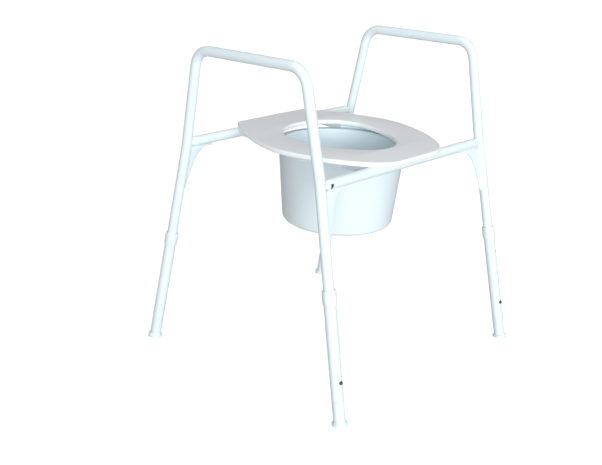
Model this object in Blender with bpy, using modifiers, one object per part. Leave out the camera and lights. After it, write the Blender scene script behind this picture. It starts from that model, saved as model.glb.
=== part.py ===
"""Height-adjustable commode chair: a tubular frame, four telescopic legs, a hinged seat and a lift-out pan.

Metres, +Z up. The sitter faces -Y, so -X is the sitter's right. The origin lies on the floor, in the
middle of the four feet.
"""

from math import acos, atan2, cos, hypot, pi, radians, sin, sqrt, tan

import bmesh
import bpy
from mathutils import Matrix, Vector

# ---- driving dimensions -------------------------------------------------------------------------

TUBE_RADIUS = 0.0111  # 7/8 inch frame tube
TUBE_WALL = 0.0015
SLEEVE_RADIUS = 0.0127  # 1 inch tube of the leg extensions
SLEEVE_WALL = 0.0012
TUBE_SIDES = 20
GAP = 0.0003  # between pieces that touch

ARM_HEIGHT = 0.699  # centre lines, from here to the bend radii
ARM_HALF_WIDTH = 0.281
ARM_HALF_LENGTH = 0.153
ARM_MIDDLE_Y = -0.006
ARM_BEND_RADIUS = 0.0444
KINK_HEIGHT = 0.482
KINK_HALF_WIDTH = 0.276
KINK_BEND_RADIUS = 0.080
FOOT_HALF_WIDTH = 0.2985
FRONT_LEAN = 0.193  # metres forward per metre down
REAR_LEAN = 0.210

FRONT_RAIL_HEIGHT = 0.4748
REAR_RAIL_HEIGHT = 0.4902
CAP_LENGTH = 0.0215  # from the end of a cross tube to the skin of the leg
CAP_SPIGOT = 0.0155

GUSSET_THICKNESS = 0.0035
GUSSET_REACH = 0.076  # along the cross tube, from the leg's centre line
GUSSET_DROP = 0.112  # down the leg, from the cross tube's centre line

HOLE_COUNT = 6
HOLE_PITCH = 0.0254
HOLE_RADIUS = 0.0045
BUTTON_UP = 0.0900  # distances up a leg are along its axis, from the floor
BUTTON_RADIUS = 0.0040
BUTTON_PROUD = 0.0160  # crown of the button, from the leg's axis
TUBE_END_UP = 0.0700
SLEEVE_END_UP = 0.0520
SLEEVE_TOP_UP = 0.2725
COLLAR_TOP_UP = 0.2790
COLLAR_LENGTH = 0.0285
COLLAR_RADIUS = 0.0147

FOOT_RADIUS = 0.0162
FOOT_FLANGE = 0.0065
SPIGOT_TOP_UP = 0.0665

SEAT_BOTTOM = 0.0095  # heights square to the plane through both cross tubes' axes
SEAT_TOP = 0.0201
SEAT_EDGE_RADIUS = 0.0030
SEAT_HALF_WIDTH = 0.2028
SEAT_REAR_HALF_WIDTH = 0.1086
SEAT_FRONT_HALF_WIDTH = 0.0586
SEAT_REAR = 0.0162  # behind the hinge axis
SEAT_FRONT = -0.4205
SEAT_WIDEST = -0.2023
HOLE_MIDDLE = -0.1695
HOLE_HALF_WIDTH = 0.1143
HOLE_REAR_REACH = 0.0938
HOLE_FRONT_REACH = 0.1720

CLIP_MIDDLE = 0.0909
CLIP_WIDTH = 0.034
CLIP_TOP = 0.0136
CLIP_FLANGE = 0.0040

PAN_FROM_HINGE = -0.2095
PAN_RIM_RADIUS = 0.142
PAN_BASE_RADIUS = 0.126
PAN_DEPTH = 0.175
PAN_WALL = 0.0025
PAN_LIP_RADIUS = 0.1535
PAN_LIP_THICKNESS = 0.003
PAN_RIM_HEIGHT = -0.0024
HOLDER_RADIUS = 0.1545  # inner face of the web round the pan
HOLDER_ARM_X = 0.1155  # inner face of its straight arms
HOLDER_WALL = 0.0025
HOLDER_LEDGE_RADIUS = 0.1462
HOLDER_LEDGE = 0.003
HOLDER_LOW = -0.0090
HOLDER_HIGH = 0.0080

SIDES = {"right": -1, "left": 1}
ENDS = {"front": -1, "rear": 1}

# ---- derived places -----------------------------------------------------------------------------


def leg_point(side, end, height):
    """Centre line of one leg of a side frame at this height, ignoring the bends."""
    lean = FRONT_LEAN if end < 0 else REAR_LEAN
    y = ARM_MIDDLE_Y + end * (ARM_HALF_LENGTH + lean * (ARM_HEIGHT - height))
    if height >= KINK_HEIGHT:
        share = (height - KINK_HEIGHT) / (ARM_HEIGHT - KINK_HEIGHT)
        x = KINK_HALF_WIDTH + share * (ARM_HALF_WIDTH - KINK_HALF_WIDTH)
    else:
        share = height / KINK_HEIGHT
        x = FOOT_HALF_WIDTH + share * (KINK_HALF_WIDTH - FOOT_HALF_WIDTH)
    return Vector((side * x, y, height))


def rail_point(end):
    """Middle of the front or rear cross tube."""
    height = FRONT_RAIL_HEIGHT if end < 0 else REAR_RAIL_HEIGHT
    return Vector((0, leg_point(1, end, height).y, height))


def leg_matrix(side, end):
    """Local frame of a lower leg: Z up its axis, Y out through its snap button, origin on the floor."""
    foot = leg_point(side, end, 0)
    up = (leg_point(side, end, KINK_HEIGHT) - foot).normalized()
    out = Vector((0, end, 0))
    out = (out - up * out.dot(up)).normalized()
    axes = Matrix((out.cross(up), out, up)).transposed()
    return Matrix.Translation(foot) @ axes.to_4x4()


def seat_matrix():
    """Frame of the seat: origin on the rear cross tube's axis, Z square to the plane of both tubes."""
    rear, front = rail_point(1), rail_point(-1)
    slope = atan2(rear.z - front.z, rear.y - front.y)
    return Matrix.Translation(rear) @ Matrix.Rotation(slope, 4, "X")


# ---- helpers ------------------------------------------------------------------------------------


def clear_scene():
    for obj in list(bpy.data.objects):
        bpy.data.objects.remove(obj, do_unlink=True)


def new_collection(name):
    collection = bpy.data.collections.new(name)
    bpy.context.scene.collection.children.link(collection)
    return collection


def material(name, color, roughness, metallic=0.0):
    made = bpy.data.materials.new(name)
    made.use_nodes = True
    shader = made.node_tree.nodes["Principled BSDF"]
    shader.inputs["Base Color"].default_value = (*color, 1.0)
    shader.inputs["Roughness"].default_value = roughness
    shader.inputs["Metallic"].default_value = metallic
    return made


def add(name, data, finish, matrix=None, parent=None):
    """Puts data in the scene as a part. Under a parent, matrix is in the parent's frame."""
    obj = bpy.data.objects.new(name, data)
    parts.objects.link(obj)
    data.materials.append(finish)
    obj.parent = parent
    obj.matrix_local = matrix or Matrix()
    return obj


def add_empty(name, matrix):
    empty = bpy.data.objects.new(name, None)
    parts.objects.link(empty)
    empty.matrix_world = matrix
    return empty


def as_cutter(obj):
    parts.objects.unlink(obj)
    cutters.objects.link(obj)
    obj.hide_render = True
    obj.display_type = "WIRE"
    return obj


def smooth(mesh, angle=35):
    mesh.shade_smooth()
    mesh.set_sharp_from_angle(angle=radians(angle))


def mesh_of(obj):
    """Turns a curve object into a mesh object of the same name, with its caps welded on."""
    graph = bpy.context.evaluated_depsgraph_get()
    mesh = bpy.data.meshes.new_from_object(obj.evaluated_get(graph))
    work = bmesh.new()
    work.from_mesh(mesh)
    bmesh.ops.remove_doubles(work, verts=work.verts, dist=0.00001)
    work.to_mesh(mesh)
    work.free()
    smooth(mesh)
    name, matrix, parent = obj.name, obj.matrix_world.copy(), obj.parent
    bpy.data.objects.remove(obj)
    made = bpy.data.objects.new(name, mesh)
    parts.objects.link(made)
    made.parent = parent
    made.matrix_world = matrix
    return made


def cut(obj, cutter, label="cut"):
    modifier = obj.modifiers.new(label, "BOOLEAN")
    modifier.operation = "DIFFERENCE"
    modifier.solver = "EXACT"
    modifier.object = cutter


def screw_turn(obj, steps):
    """Turns the object's profile, drawn in its XZ plane, about its Z axis."""
    turn = obj.modifiers.new("turn", "SCREW")
    turn.steps = turn.render_steps = steps
    turn.use_merge_vertices = True
    turn.merge_threshold = 0.00001
    turn.use_smooth_shade = True


def profile_mesh(name, profile):
    """Open profile of (radius, height) points, joined in order."""
    mesh = bpy.data.meshes.new(name)
    edges = [(i, i + 1) for i in range(len(profile) - 1)]
    mesh.from_pydata([(r, 0, z) for r, z in profile], edges, [])
    return mesh


def turned(name, profile, finish, matrix=None, parent=None, steps=24):
    """Solid of revolution. The profile runs down its outer side, top to bottom."""
    obj = add(name, profile_mesh(name, profile), finish, matrix, parent)
    screw_turn(obj, steps)
    return obj


def ring(name, profile, finish, matrix=None, parent=None, steps=24):
    """Solid of revolution with a bore: the profile comes back to where it starts."""
    return turned(name, [*profile, profile[0]], finish, matrix, parent, steps)


def cylinder(name, radius, low, high, finish, matrix=None, parent=None, sides=16):
    """Cylinder along the local Z axis, from low to high."""
    mesh = bpy.data.meshes.new(name)
    work = bmesh.new()
    place = Matrix.Translation((0, 0, (low + high) / 2))
    bmesh.ops.create_cone(
        work, cap_ends=True, segments=sides, radius1=radius, radius2=radius, depth=high - low, matrix=place
    )
    work.to_mesh(mesh)
    work.free()
    smooth(mesh)
    return add(name, mesh, finish, matrix, parent)


def box(name, low, high, finish, matrix=None, parent=None):
    mesh = bpy.data.meshes.new(name)
    work = bmesh.new()
    size = [b - a for a, b in zip(low, high)]
    middle = [(a + b) / 2 for a, b in zip(low, high)]
    bmesh.ops.create_cube(work, size=1, matrix=Matrix.Translation(middle) @ Matrix.Diagonal((*size, 1)))
    work.to_mesh(mesh)
    work.free()
    return add(name, mesh, finish, matrix, parent)


def rounded_path(corners, steps):
    """Points along a run of straight lines whose inner corners are (point, bend radius) arcs."""
    path = [corners[0][0]]
    for (before, _), (corner, radius), (after, _) in zip(corners, corners[1:], corners[2:]):
        u, v = (before - corner).normalized(), (after - corner).normalized()
        half = u.angle(v) / 2
        centre = corner + (u + v).normalized() * (radius / sin(half))
        start = corner + u * (radius / tan(half)) - centre
        end = corner + v * (radius / tan(half)) - centre
        turn = start.angle(end)
        count = max(2, round(turn / radians(90) * steps))
        for i in range(count + 1):
            share = i / count
            weight = (sin((1 - share) * turn), sin(share * turn))
            path.append(centre + (start * weight[0] + end * weight[1]) / sin(turn))
    path.append(corners[-1][0])
    return path


def swept(name, path, radius, finish, caps=True, sides=TUBE_SIDES):
    """Round bar along a path, or its open skin where caps is False, as a mesh object."""
    curve = bpy.data.curves.new(name, "CURVE")
    curve.dimensions = "3D"
    curve.bevel_depth = radius
    curve.bevel_resolution = (sides - 4) // 2
    curve.use_fill_caps = caps
    spline = curve.splines.new("POLY")
    spline.points.add(len(path) - 1)
    for point, place in zip(spline.points, path):
        point.co = (*place, 1)
    return mesh_of(add(name, curve, finish))


def hollow(obj, wall):
    """Gives an open skin a wall on its inner side."""
    modifier = obj.modifiers.new("wall", "SOLIDIFY")
    modifier.thickness = wall
    modifier.offset = -1
    modifier.use_even_offset = True


def bezier_loop(curve, points):
    """Closed Bezier spline through (point, handle before, handle after), all as XY pairs."""
    spline = curve.splines.new("BEZIER")
    spline.bezier_points.add(len(points) - 1)
    spline.use_cyclic_u = True
    for knot, (place, before, after) in zip(spline.bezier_points, points):
        knot.co = (*place, 0)
        knot.handle_left = (*before, 0)
        knot.handle_right = (*after, 0)


def flat_outline(name, loops, thickness, finish, edge_radius=0.0, resolution=10):
    """Plate from closed Bezier loops, centred on its own XY plane, as a mesh object."""
    curve = bpy.data.curves.new(name, "CURVE")
    curve.dimensions = "2D"
    curve.fill_mode = "BOTH"
    curve.resolution_u = resolution
    curve.bevel_depth = edge_radius
    curve.bevel_resolution = 1
    curve.offset = -edge_radius
    curve.extrude = thickness / 2 - edge_radius
    for loop in loops:
        bezier_loop(curve, loop)
    return mesh_of(add(name, curve, finish))


def corner_loop(points):
    """Knots of a loop of straight lines."""
    return [(p, p, p) for p in points]


# ---- frame --------------------------------------------------------------------------------------


def leg_corners(side, end):
    """The two bends and the open end of one leg, from the arm down."""
    local = leg_matrix(side, end)
    return [
        (leg_point(side, end, ARM_HEIGHT), ARM_BEND_RADIUS),
        (leg_point(side, end, KINK_HEIGHT), KINK_BEND_RADIUS),
        (local @ Vector((0, 0, TUBE_END_UP)), 0),
    ]


def side_path(side):
    """Rear leg, arm and front leg as one bent tube."""
    return rounded_path([*leg_corners(side, 1)[::-1], *leg_corners(side, -1)], steps=7)


def make_side_frame(label, side):
    frame = swept(f"side_frame_{label}", side_path(side), TUBE_RADIUS, paint, caps=False)
    hollow(frame, TUBE_WALL)
    for end_label, end in ENDS.items():
        place = leg_matrix(side, end) @ Matrix.Translation((0, 0, BUTTON_UP)) @ out_of_leg()
        hole = cylinder(
            f"button_hole_{end_label}_{label}", BUTTON_RADIUS + GAP, 0.006, 0.014, paint, place, sides=12
        )
        cut(frame, as_cutter(hole), f"hole_{end_label}")
    return frame


def out_of_leg():
    """Turns a piece made along Z so that it points out along a leg's local Y."""
    return Matrix.Rotation(radians(-90), 4, "X")


def make_leg_clearance(label, side):
    """What welded pieces leave free round a side frame."""
    path = side_path(side)
    return as_cutter(swept(f"leg_clearance_{label}", path, TUBE_RADIUS + GAP, paint))


def cross_tube_half(end):
    height = rail_point(end).z
    return leg_point(1, end, height).x - TUBE_RADIUS - CAP_LENGTH


def make_cross_tube(label, end):
    middle, half = rail_point(end), cross_tube_half(end)
    path = [middle + Vector((x, 0, 0)) for x in (-half, half)]
    tube = swept(f"{label}_cross_tube", path, TUBE_RADIUS, paint, caps=False)
    hollow(tube, TUBE_WALL)
    reach = [middle + Vector((x, 0, 0)) for x in (-0.30, 0.30)]
    return as_cutter(swept(f"{label}_tube_clearance", reach, TUBE_RADIUS + GAP, paint))


def make_cap(side_label, side, end_label, end, leg_clearance):
    """Domed plug in the end of a cross tube, fitted to the leg, with a slot in its lower flank."""
    bore = TUBE_RADIUS - TUBE_WALL - GAP
    tip = CAP_LENGTH + 0.0010
    profile = [
        (0, tip),
        (0.0040, tip - 0.0006),
        (0.0072, tip - 0.0026),
        (0.0096, tip - 0.0060),
        (0.0107, tip - 0.0095),
        (TUBE_RADIUS, tip - 0.0135),
        (TUBE_RADIUS, GAP),
        (bore, GAP),
        (bore, 0.0015 - CAP_SPIGOT),
        (bore - 0.0015, -CAP_SPIGOT),
        (0, -CAP_SPIGOT),
    ]
    middle = rail_point(end)
    start = Matrix.Translation(middle + Vector((side * cross_tube_half(end), 0, 0)))
    name = f"{end_label}_{side_label}"
    along = start @ Matrix.Rotation(side * pi / 2, 4, "Y")
    cap = turned(f"cross_tube_cap_{name}", profile, paint, along, steps=TUBE_SIDES)
    cut(cap, leg_clearance, "leg")
    facing = side if end < 0 else 1
    low = (0.0045, min(facing * 0.0045, facing * 0.0140), -0.0100)
    high = (0.0125, max(facing * 0.0045, facing * 0.0140), 0.0034)
    slot = box(f"cap_slot_{name}", low, high, paint, start @ Matrix.Diagonal((side, 1, 1, 1)))
    for corner in slot.data.vertices:
        if corner.co.z < 0:
            corner.co.x = 0.0085 + 0.4 * (corner.co.x - 0.0085)
    cut(cap, as_cutter(slot), "slot")


def make_gusset(side_label, side, end_label, end, leg_clearance, tube_clearance):
    """Web plate under a cross tube, in the plane of the leg, with a concave free edge."""
    inner = TUBE_RADIUS
    tip = (GUSSET_REACH, 0.0175)
    start, toe = (GUSSET_REACH - 0.014, 0.0170), (inner + 0.0015, GUSSET_DROP)
    loop = [
        ((0.022, 0.006), (0.022, 0.006), (0.022, 0.006)),
        ((GUSSET_REACH, 0.006), (GUSSET_REACH, 0.006), (GUSSET_REACH, 0.006)),
        (tip, tip, tip),
        ((tip[0] - 0.005, tip[1]), (tip[0] - 0.005, tip[1]), (tip[0] - 0.005, tip[1])),
        (start, start, (0.038, 0.0185)),
        (toe, (0.024, 0.048), toe),
        ((0.006, GUSSET_DROP), (0.006, GUSSET_DROP), (0.006, GUSSET_DROP)),
        ((0.006, 0.024), (0.006, 0.024), (0.006, 0.024)),
    ]
    name = f"gusset_{end_label}_{side_label}"
    plate = flat_outline(name, [loop], GUSSET_THICKNESS, paint, resolution=14)
    height = rail_point(end).z
    corner = leg_point(side, end, height)
    down = (leg_point(side, end, height - 0.2) - corner)
    down = Vector((0, down.y, down.z)).normalized()
    inward = Vector((-side, 0, 0))
    plate.matrix_world = (
        Matrix.Translation(corner) @ Matrix((inward, down, inward.cross(down))).transposed().to_4x4()
    )
    cut(plate, leg_clearance, "leg")
    cut(plate, tube_clearance, "tube")


# ---- telescopic legs ----------------------------------------------------------------------------


def make_sleeve(name, axis):
    """Lower leg tube with its row of height holes."""
    sleeve_path = [Vector((0, 0, SLEEVE_END_UP)), Vector((0, 0, SLEEVE_TOP_UP))]
    sleeve = swept(f"leg_extension_{name}", sleeve_path, SLEEVE_RADIUS, paint, caps=False)
    sleeve.parent = axis
    sleeve.matrix_local = Matrix()
    hollow(sleeve, SLEEVE_WALL)
    for i in range(HOLE_COUNT):
        place = Matrix.Translation((0, 0, BUTTON_UP + i * HOLE_PITCH)) @ out_of_leg()
        hole = cylinder(f"height_hole_{name}_{i}", HOLE_RADIUS, 0.008, 0.016, paint, place, axis, 12)
        cut(sleeve, as_cutter(hole), f"hole_{i}")


def make_collar(name, axis):
    """Plastic collar pressed over the top of the sleeve, running on the frame tube."""
    low = COLLAR_TOP_UP - COLLAR_LENGTH
    profile = [
        (COLLAR_RADIUS - 0.0012, COLLAR_TOP_UP),
        (COLLAR_RADIUS, COLLAR_TOP_UP - 0.0012),
        (COLLAR_RADIUS - 0.0003, low + 0.0006),
        (COLLAR_RADIUS - 0.0009, low),
        (SLEEVE_RADIUS + GAP, low),
        (SLEEVE_RADIUS + GAP, SLEEVE_TOP_UP + GAP),
        (TUBE_RADIUS + GAP, SLEEVE_TOP_UP + GAP),
        (TUBE_RADIUS + GAP, COLLAR_TOP_UP),
    ]
    ring(f"leg_collar_{name}", profile, white_plastic, parent=axis, steps=TUBE_SIDES)


def make_foot(name, axis):
    """Push-in foot: spigot, neck flush with the sleeve and a flange cut level with the floor."""
    bore = SLEEVE_RADIUS - SLEEVE_WALL
    shoulder = SLEEVE_END_UP - GAP
    profile = [
        (0, SPIGOT_TOP_UP),
        (bore - 0.0015, SPIGOT_TOP_UP),
        (bore - GAP, SPIGOT_TOP_UP - 0.003),
        (bore - GAP, shoulder),
        (SLEEVE_RADIUS, shoulder),
        (SLEEVE_RADIUS - 0.0004, FOOT_FLANGE + 0.0025),
        (SLEEVE_RADIUS + 0.0006, FOOT_FLANGE + 0.0006),
        (FOOT_RADIUS - 0.0008, FOOT_FLANGE),
        (FOOT_RADIUS, FOOT_FLANGE - 0.0008),
        (FOOT_RADIUS, -0.012),
        (0, -0.012),
    ]
    foot = turned(f"foot_tip_{name}", profile, white_plastic, parent=axis, steps=TUBE_SIDES)
    cut(foot, floor_cutter, "floor")


def make_button(name, axis):
    """Snap button, made about its press axis and moving along it."""
    press_axis = add_empty(f"button_axis_{name}", Matrix())
    press_axis.parent = axis
    press_axis.matrix_local = Matrix.Translation((0, 0, BUTTON_UP)) @ out_of_leg()
    profile = [
        (0, BUTTON_PROUD),
        (0.0018, BUTTON_PROUD - 0.0004),
        (0.0033, BUTTON_PROUD - 0.0014),
        (BUTTON_RADIUS, BUTTON_PROUD - 0.0028),
        (BUTTON_RADIUS, 0.0078),
        (0.0050, 0.0078),
        (0.0050, 0.0072),
        (0, 0.0072),
    ]
    turned(f"snap_button_{name}", profile, dark_plastic, parent=press_axis, steps=12)


def make_button_spring(name, axis):
    """V-shaped leaf spring inside the frame tube, behind the button."""
    strip = [
        Vector((0, 0.0066, BUTTON_UP - 0.006)),
        Vector((0, 0.0066, BUTTON_UP + 0.006)),
        Vector((0, -0.0015, BUTTON_UP + 0.030)),
        Vector((0, -0.0045, BUTTON_UP + 0.034)),
        Vector((0, -0.0072, BUTTON_UP + 0.030)),
        Vector((0, -0.0082, BUTTON_UP - 0.006)),
    ]
    half_width = 0.0035
    mesh = bpy.data.meshes.new(f"button_spring_{name}")
    work = bmesh.new()
    verts = [[work.verts.new(p + Vector((x, 0, 0))) for p in strip] for x in (-half_width, half_width)]
    for i in range(len(strip) - 1):
        work.faces.new((verts[0][i], verts[0][i + 1], verts[1][i + 1], verts[1][i]))
    work.to_mesh(mesh)
    work.free()
    spring = add(f"button_spring_{name}", mesh, steel, parent=axis)
    leaf = spring.modifiers.new("leaf", "SOLIDIFY")
    leaf.thickness = 0.0006
    leaf.offset = 0


def make_leg(side_label, side, end_label, end):
    name = f"{end_label}_{side_label}"
    axis = add_empty(f"leg_axis_{name}", leg_matrix(side, end))
    make_sleeve(name, axis)
    make_collar(name, axis)
    make_foot(name, axis)
    make_button(name, axis)
    make_button_spring(name, axis)


# ---- seat ---------------------------------------------------------------------------------------


def seat_outline():
    """Outer edge, clockwise from the rear left, with a nearly straight rear and a blunt round front."""
    rear, front, wide = SEAT_REAR_HALF_WIDTH, SEAT_FRONT_HALF_WIDTH, SEAT_HALF_WIDTH
    half = [
        ((rear, SEAT_REAR), (rear / 3, SEAT_REAR + 0.0008), (rear + 0.043, -0.034)),
        ((wide, SEAT_WIDEST), (wide, SEAT_WIDEST + 0.069), (wide, SEAT_WIDEST - 0.060)),
        ((front, SEAT_FRONT), (front + 0.082, SEAT_FRONT), (front / 3, SEAT_FRONT - 0.0008)),
    ]
    mirrored = [((-p[0], p[1]), (-b[0], b[1]), (-a[0], a[1])) for p, a, b in reversed(half)]
    return [*half, *mirrored]


def egg_outline():
    """Opening: half an ellipse to the rear and a longer half to the front."""
    handle = 4 / 3 * (sqrt(2) - 1)
    wide, rear, front = HOLE_HALF_WIDTH, HOLE_REAR_REACH, HOLE_FRONT_REACH
    y = HOLE_MIDDLE
    return [
        ((wide, y), (wide, y - handle * front), (wide, y + handle * rear)),
        ((0, y + rear), (handle * wide, y + rear), (-handle * wide, y + rear)),
        ((-wide, y), (-wide, y + handle * rear), (-wide, y - handle * front)),
        ((0, y - front), (-handle * wide, y - front), (handle * wide, y - front)),
    ]


def make_seat(axis):
    thickness = SEAT_TOP - SEAT_BOTTOM
    seat = flat_outline(
        "seat", [seat_outline(), egg_outline()], thickness, seat_plastic, SEAT_EDGE_RADIUS, resolution=12
    )
    seat.parent = axis
    seat.matrix_local = Matrix.Translation((0, 0, (SEAT_TOP + SEAT_BOTTOM) / 2))
    across = Matrix.Rotation(pi / 2, 4, "Y")
    for label, y in {"front": front_rail_y(), "rear": 0}.items():
        place = Matrix.Translation((0, y, 0)) @ across
        groove = cylinder(f"{label}_groove", TUBE_RADIUS + GAP, -0.25, 0.25, paint, place, axis, sides=40)
        cut(seat, as_cutter(groove), f"{label}_groove")
    for label, side in SIDES.items():
        middle, half = side * CLIP_MIDDLE, CLIP_WIDTH / 2 + 0.001
        low = (middle - half, -0.0365, SEAT_BOTTOM - 0.002)
        high = (middle + half, 0.0300, CLIP_TOP + GAP)
        pocket = box(f"clip_pocket_{label}", low, high, white_plastic, parent=axis)
        cut(seat, as_cutter(pocket), f"pocket_{label}")
        for i, place in enumerate(clip_screw_places(side)):
            hole = cylinder(f"screw_pilot_{label}_{i}", 0.0021, 0.010, 0.0181, steel, place, axis, 10)
            cut(seat, as_cutter(hole), f"pilot_{label}_{i}")


def clip_screw_places(side):
    return [Matrix.Translation((side * (CLIP_MIDDLE + dx), -0.0265, 0)) for dx in (-0.009, 0.009)]


def front_rail_y():
    """Where the front cross tube's axis lies in the seat's frame."""
    reach = rail_point(1) - rail_point(-1)
    return -hypot(reach.y, reach.z)


def make_clip(label, side, axis):
    """Knuckle at a rear corner of the seat: a jaw over the rear cross tube and a screwed flange."""
    inner = TUBE_RADIUS + GAP
    mouth = radians(50)
    arc_steps = 18
    start, span = -pi / 2 + mouth, 2 * pi - 2 * mouth
    rear_lip = [(0.0156, CLIP_TOP), (0.0156, -0.0050), (0.0144, -0.0090), (0.0120, -0.0106), (0.0100, -0.0100)]
    front_lip = [(-y, z) for y, z in reversed(rear_lip[1:])]
    turns = [start + i / arc_steps * span for i in range(arc_steps + 1)]
    profile = [(-0.0350, CLIP_TOP), *rear_lip, *((inner * cos(t), inner * sin(t)) for t in turns), *front_lip]
    profile += [(-0.0156, CLIP_TOP - CLIP_FLANGE), (-0.0350, CLIP_TOP - CLIP_FLANGE)]
    name = f"seat_clip_{label}"
    clip = flat_outline(name, [corner_loop(profile)], CLIP_WIDTH, seat_plastic, resolution=1)
    upright = Matrix(((0, 0, 1), (1, 0, 0), (0, 1, 0))).to_4x4()
    clip.parent = axis
    clip.matrix_local = Matrix.Translation((side * CLIP_MIDDLE, 0, 0)) @ upright
    for i, place in enumerate(clip_screw_places(side)):
        hole = cylinder(f"clip_hole_{label}_{i}", 0.0021, 0.006, 0.016, steel, place, axis, 10)
        cut(clip, as_cutter(hole), f"hole_{i}")
        head_top = CLIP_TOP - CLIP_FLANGE - GAP
        profile = [
            (0, 0.0178),
            (0.0006, 0.0174),
            (0.0017, 0.0160),
            (0.0017, head_top),
            (0.0034, head_top),
            (0.0030, head_top - 0.0016),
            (0.0016, head_top - 0.0022),
            (0, head_top - 0.0022),
        ]
        turned(f"clip_screw_{label}_{i + 1}", profile, steel, place, axis, steps=10)


# ---- pan ----------------------------------------------------------------------------------------


def pan_matrix():
    return seat_matrix() @ Matrix.Translation((0, PAN_FROM_HINGE, PAN_RIM_HEIGHT))


def make_pan():
    """Tapered round pan in three pieces, each a simple shape to collide with: wall, base and flat lip.

    The lip rests on two holders. Local Z is 0 at its top.
    """
    place = pan_matrix()
    turn = 0.007
    slope = (PAN_RIM_RADIUS - PAN_BASE_RADIUS) / PAN_DEPTH
    inner_top = PAN_RIM_RADIUS - PAN_WALL
    inner_base = PAN_BASE_RADIUS - PAN_WALL
    seam, floor = turn - PAN_DEPTH, PAN_WALL - PAN_DEPTH
    wall = [
        (PAN_RIM_RADIUS, 0),
        (PAN_RIM_RADIUS, -PAN_LIP_THICKNESS - GAP),
        (PAN_BASE_RADIUS + slope * turn, seam + GAP),
        (inner_base + slope * turn, seam + GAP),
        (inner_top, -0.0010),
        (inner_top + 0.0010, 0),
    ]
    ring("pan_wall", wall, white_plastic, place, steps=48)
    base = [
        (inner_base + slope * turn, seam),
        (PAN_BASE_RADIUS + slope * turn, seam),
        (PAN_BASE_RADIUS - 0.3 * turn, -PAN_DEPTH + 0.3 * turn),
        (PAN_BASE_RADIUS - turn, -PAN_DEPTH),
        (0, -PAN_DEPTH),
        (0, floor),
        (inner_base - turn, floor),
        (inner_base - 0.3 * turn, floor + 0.3 * turn),
        (inner_base + slope * turn, seam),
    ]
    turned("pan_base", base, white_plastic, place, steps=48)
    lip = [
        (PAN_RIM_RADIUS + GAP, 0),
        (PAN_LIP_RADIUS - 0.0008, 0),
        (PAN_LIP_RADIUS, -0.0008),
        (PAN_LIP_RADIUS, -PAN_LIP_THICKNESS),
        (PAN_RIM_RADIUS + GAP, -PAN_LIP_THICKNESS),
    ]
    ring("pan_lip", lip, white_plastic, place, steps=48)


def holder_strip(inner, outer, arm_inner, arm_outer):
    """Outline of a strip bent round the pan on its +X side, with straight arms to both cross tubes."""
    rear = -PAN_FROM_HINGE - 0.004
    front = front_rail_y() - PAN_FROM_HINGE + 0.004
    outline = []
    for radius, arm, order in ((inner, arm_inner, 1), (outer, arm_outer, -1)):
        turn = acos(arm / radius)
        angles = [turn - i / 14 * 2 * turn for i in range(15)]
        bend = [(radius * cos(t), radius * sin(t)) for t in angles]
        outline += [(arm, rear), *bend, (arm, front)][::order]
    return outline


def make_pan_holder(label, side, clearances):
    """Flat bar bent round one side of the pan, welded to both cross tubes, with a ledge for the lip."""
    web = holder_strip(
        HOLDER_RADIUS, HOLDER_RADIUS + HOLDER_WALL, HOLDER_ARM_X, HOLDER_ARM_X + HOLDER_WALL
    )
    turn = acos((HOLDER_ARM_X + 0.004) / HOLDER_RADIUS)
    angles = [turn - i / 14 * 2 * turn for i in range(15)]
    ledge = [(HOLDER_LEDGE_RADIUS * cos(t), HOLDER_LEDGE_RADIUS * sin(t)) for t in angles]
    outer = HOLDER_RADIUS + HOLDER_WALL / 2
    ledge += [(outer * cos(t), outer * sin(t)) for t in reversed(angles)]
    high = PAN_RIM_HEIGHT - PAN_LIP_THICKNESS - GAP
    pieces = []
    for name, outline, low, top in (
        (f"pan_holder_{label}", web, HOLDER_LOW, HOLDER_HIGH),
        (f"pan_ledge_{label}", ledge, high - HOLDER_LEDGE, high),
    ):
        corners = [(side * x, y) for x, y in outline]
        bar = flat_outline(name, [corner_loop(corners)], top - low, paint, resolution=1)
        bar.matrix_world = seat_matrix() @ Matrix.Translation((0, PAN_FROM_HINGE, (low + top) / 2))
        pieces.append(bar)
    holder, shelf = pieces
    join = holder.modifiers.new("ledge", "BOOLEAN")
    join.operation = "UNION"
    join.solver = "EXACT"
    join.object = as_cutter(shelf)
    for i, clearance in enumerate(clearances):
        cut(holder, clearance, f"tube_{i}")


# ---- build --------------------------------------------------------------------------------------

clear_scene()
parts = new_collection("commode_chair")
cutters = new_collection("cutters")

paint = material("white powder coat", (0.86, 0.90, 0.92), 0.35)
white_plastic = material("white plastic", (0.88, 0.90, 0.92), 0.40)
seat_plastic = material("seat plastic", (0.80, 0.82, 0.83), 0.42)
dark_plastic = material("dark plastic", (0.06, 0.06, 0.07), 0.45)
steel = material("zinc steel", (0.45, 0.46, 0.47), 0.35, 1.0)

floor_cutter = as_cutter(box("floor", (-0.5, -0.5, -0.1), (0.5, 0.5, 0.0), paint))
leg_clearances = {label: make_leg_clearance(label, side) for label, side in SIDES.items()}
tube_clearances = {label: make_cross_tube(label, end) for label, end in ENDS.items()}
for side_label, side in SIDES.items():
    make_side_frame(side_label, side)
    make_pan_holder(side_label, side, tube_clearances.values())
    for end_label, end in ENDS.items():
        make_cap(side_label, side, end_label, end, leg_clearances[side_label])
        make_gusset(
            side_label, side, end_label, end, leg_clearances[side_label], tube_clearances[end_label]
        )
        make_leg(side_label, side, end_label, end)

hinge_axis = add_empty("hinge_axis", seat_matrix())
make_seat(hinge_axis)
for side_label, side in SIDES.items():
    make_clip(side_label, side, hinge_axis)
make_pan()
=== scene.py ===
"""Looks of the commode chair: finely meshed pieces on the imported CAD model, materials, light, camera.

Metres, +Z up, in the CAD model's frame. The driving dimensions are the ones of the CAD model.
"""

from math import acos, atan2, cos, hypot, pi, radians, sin, sqrt, tan

import bmesh
import bpy
from mathutils import Matrix, Vector


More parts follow.
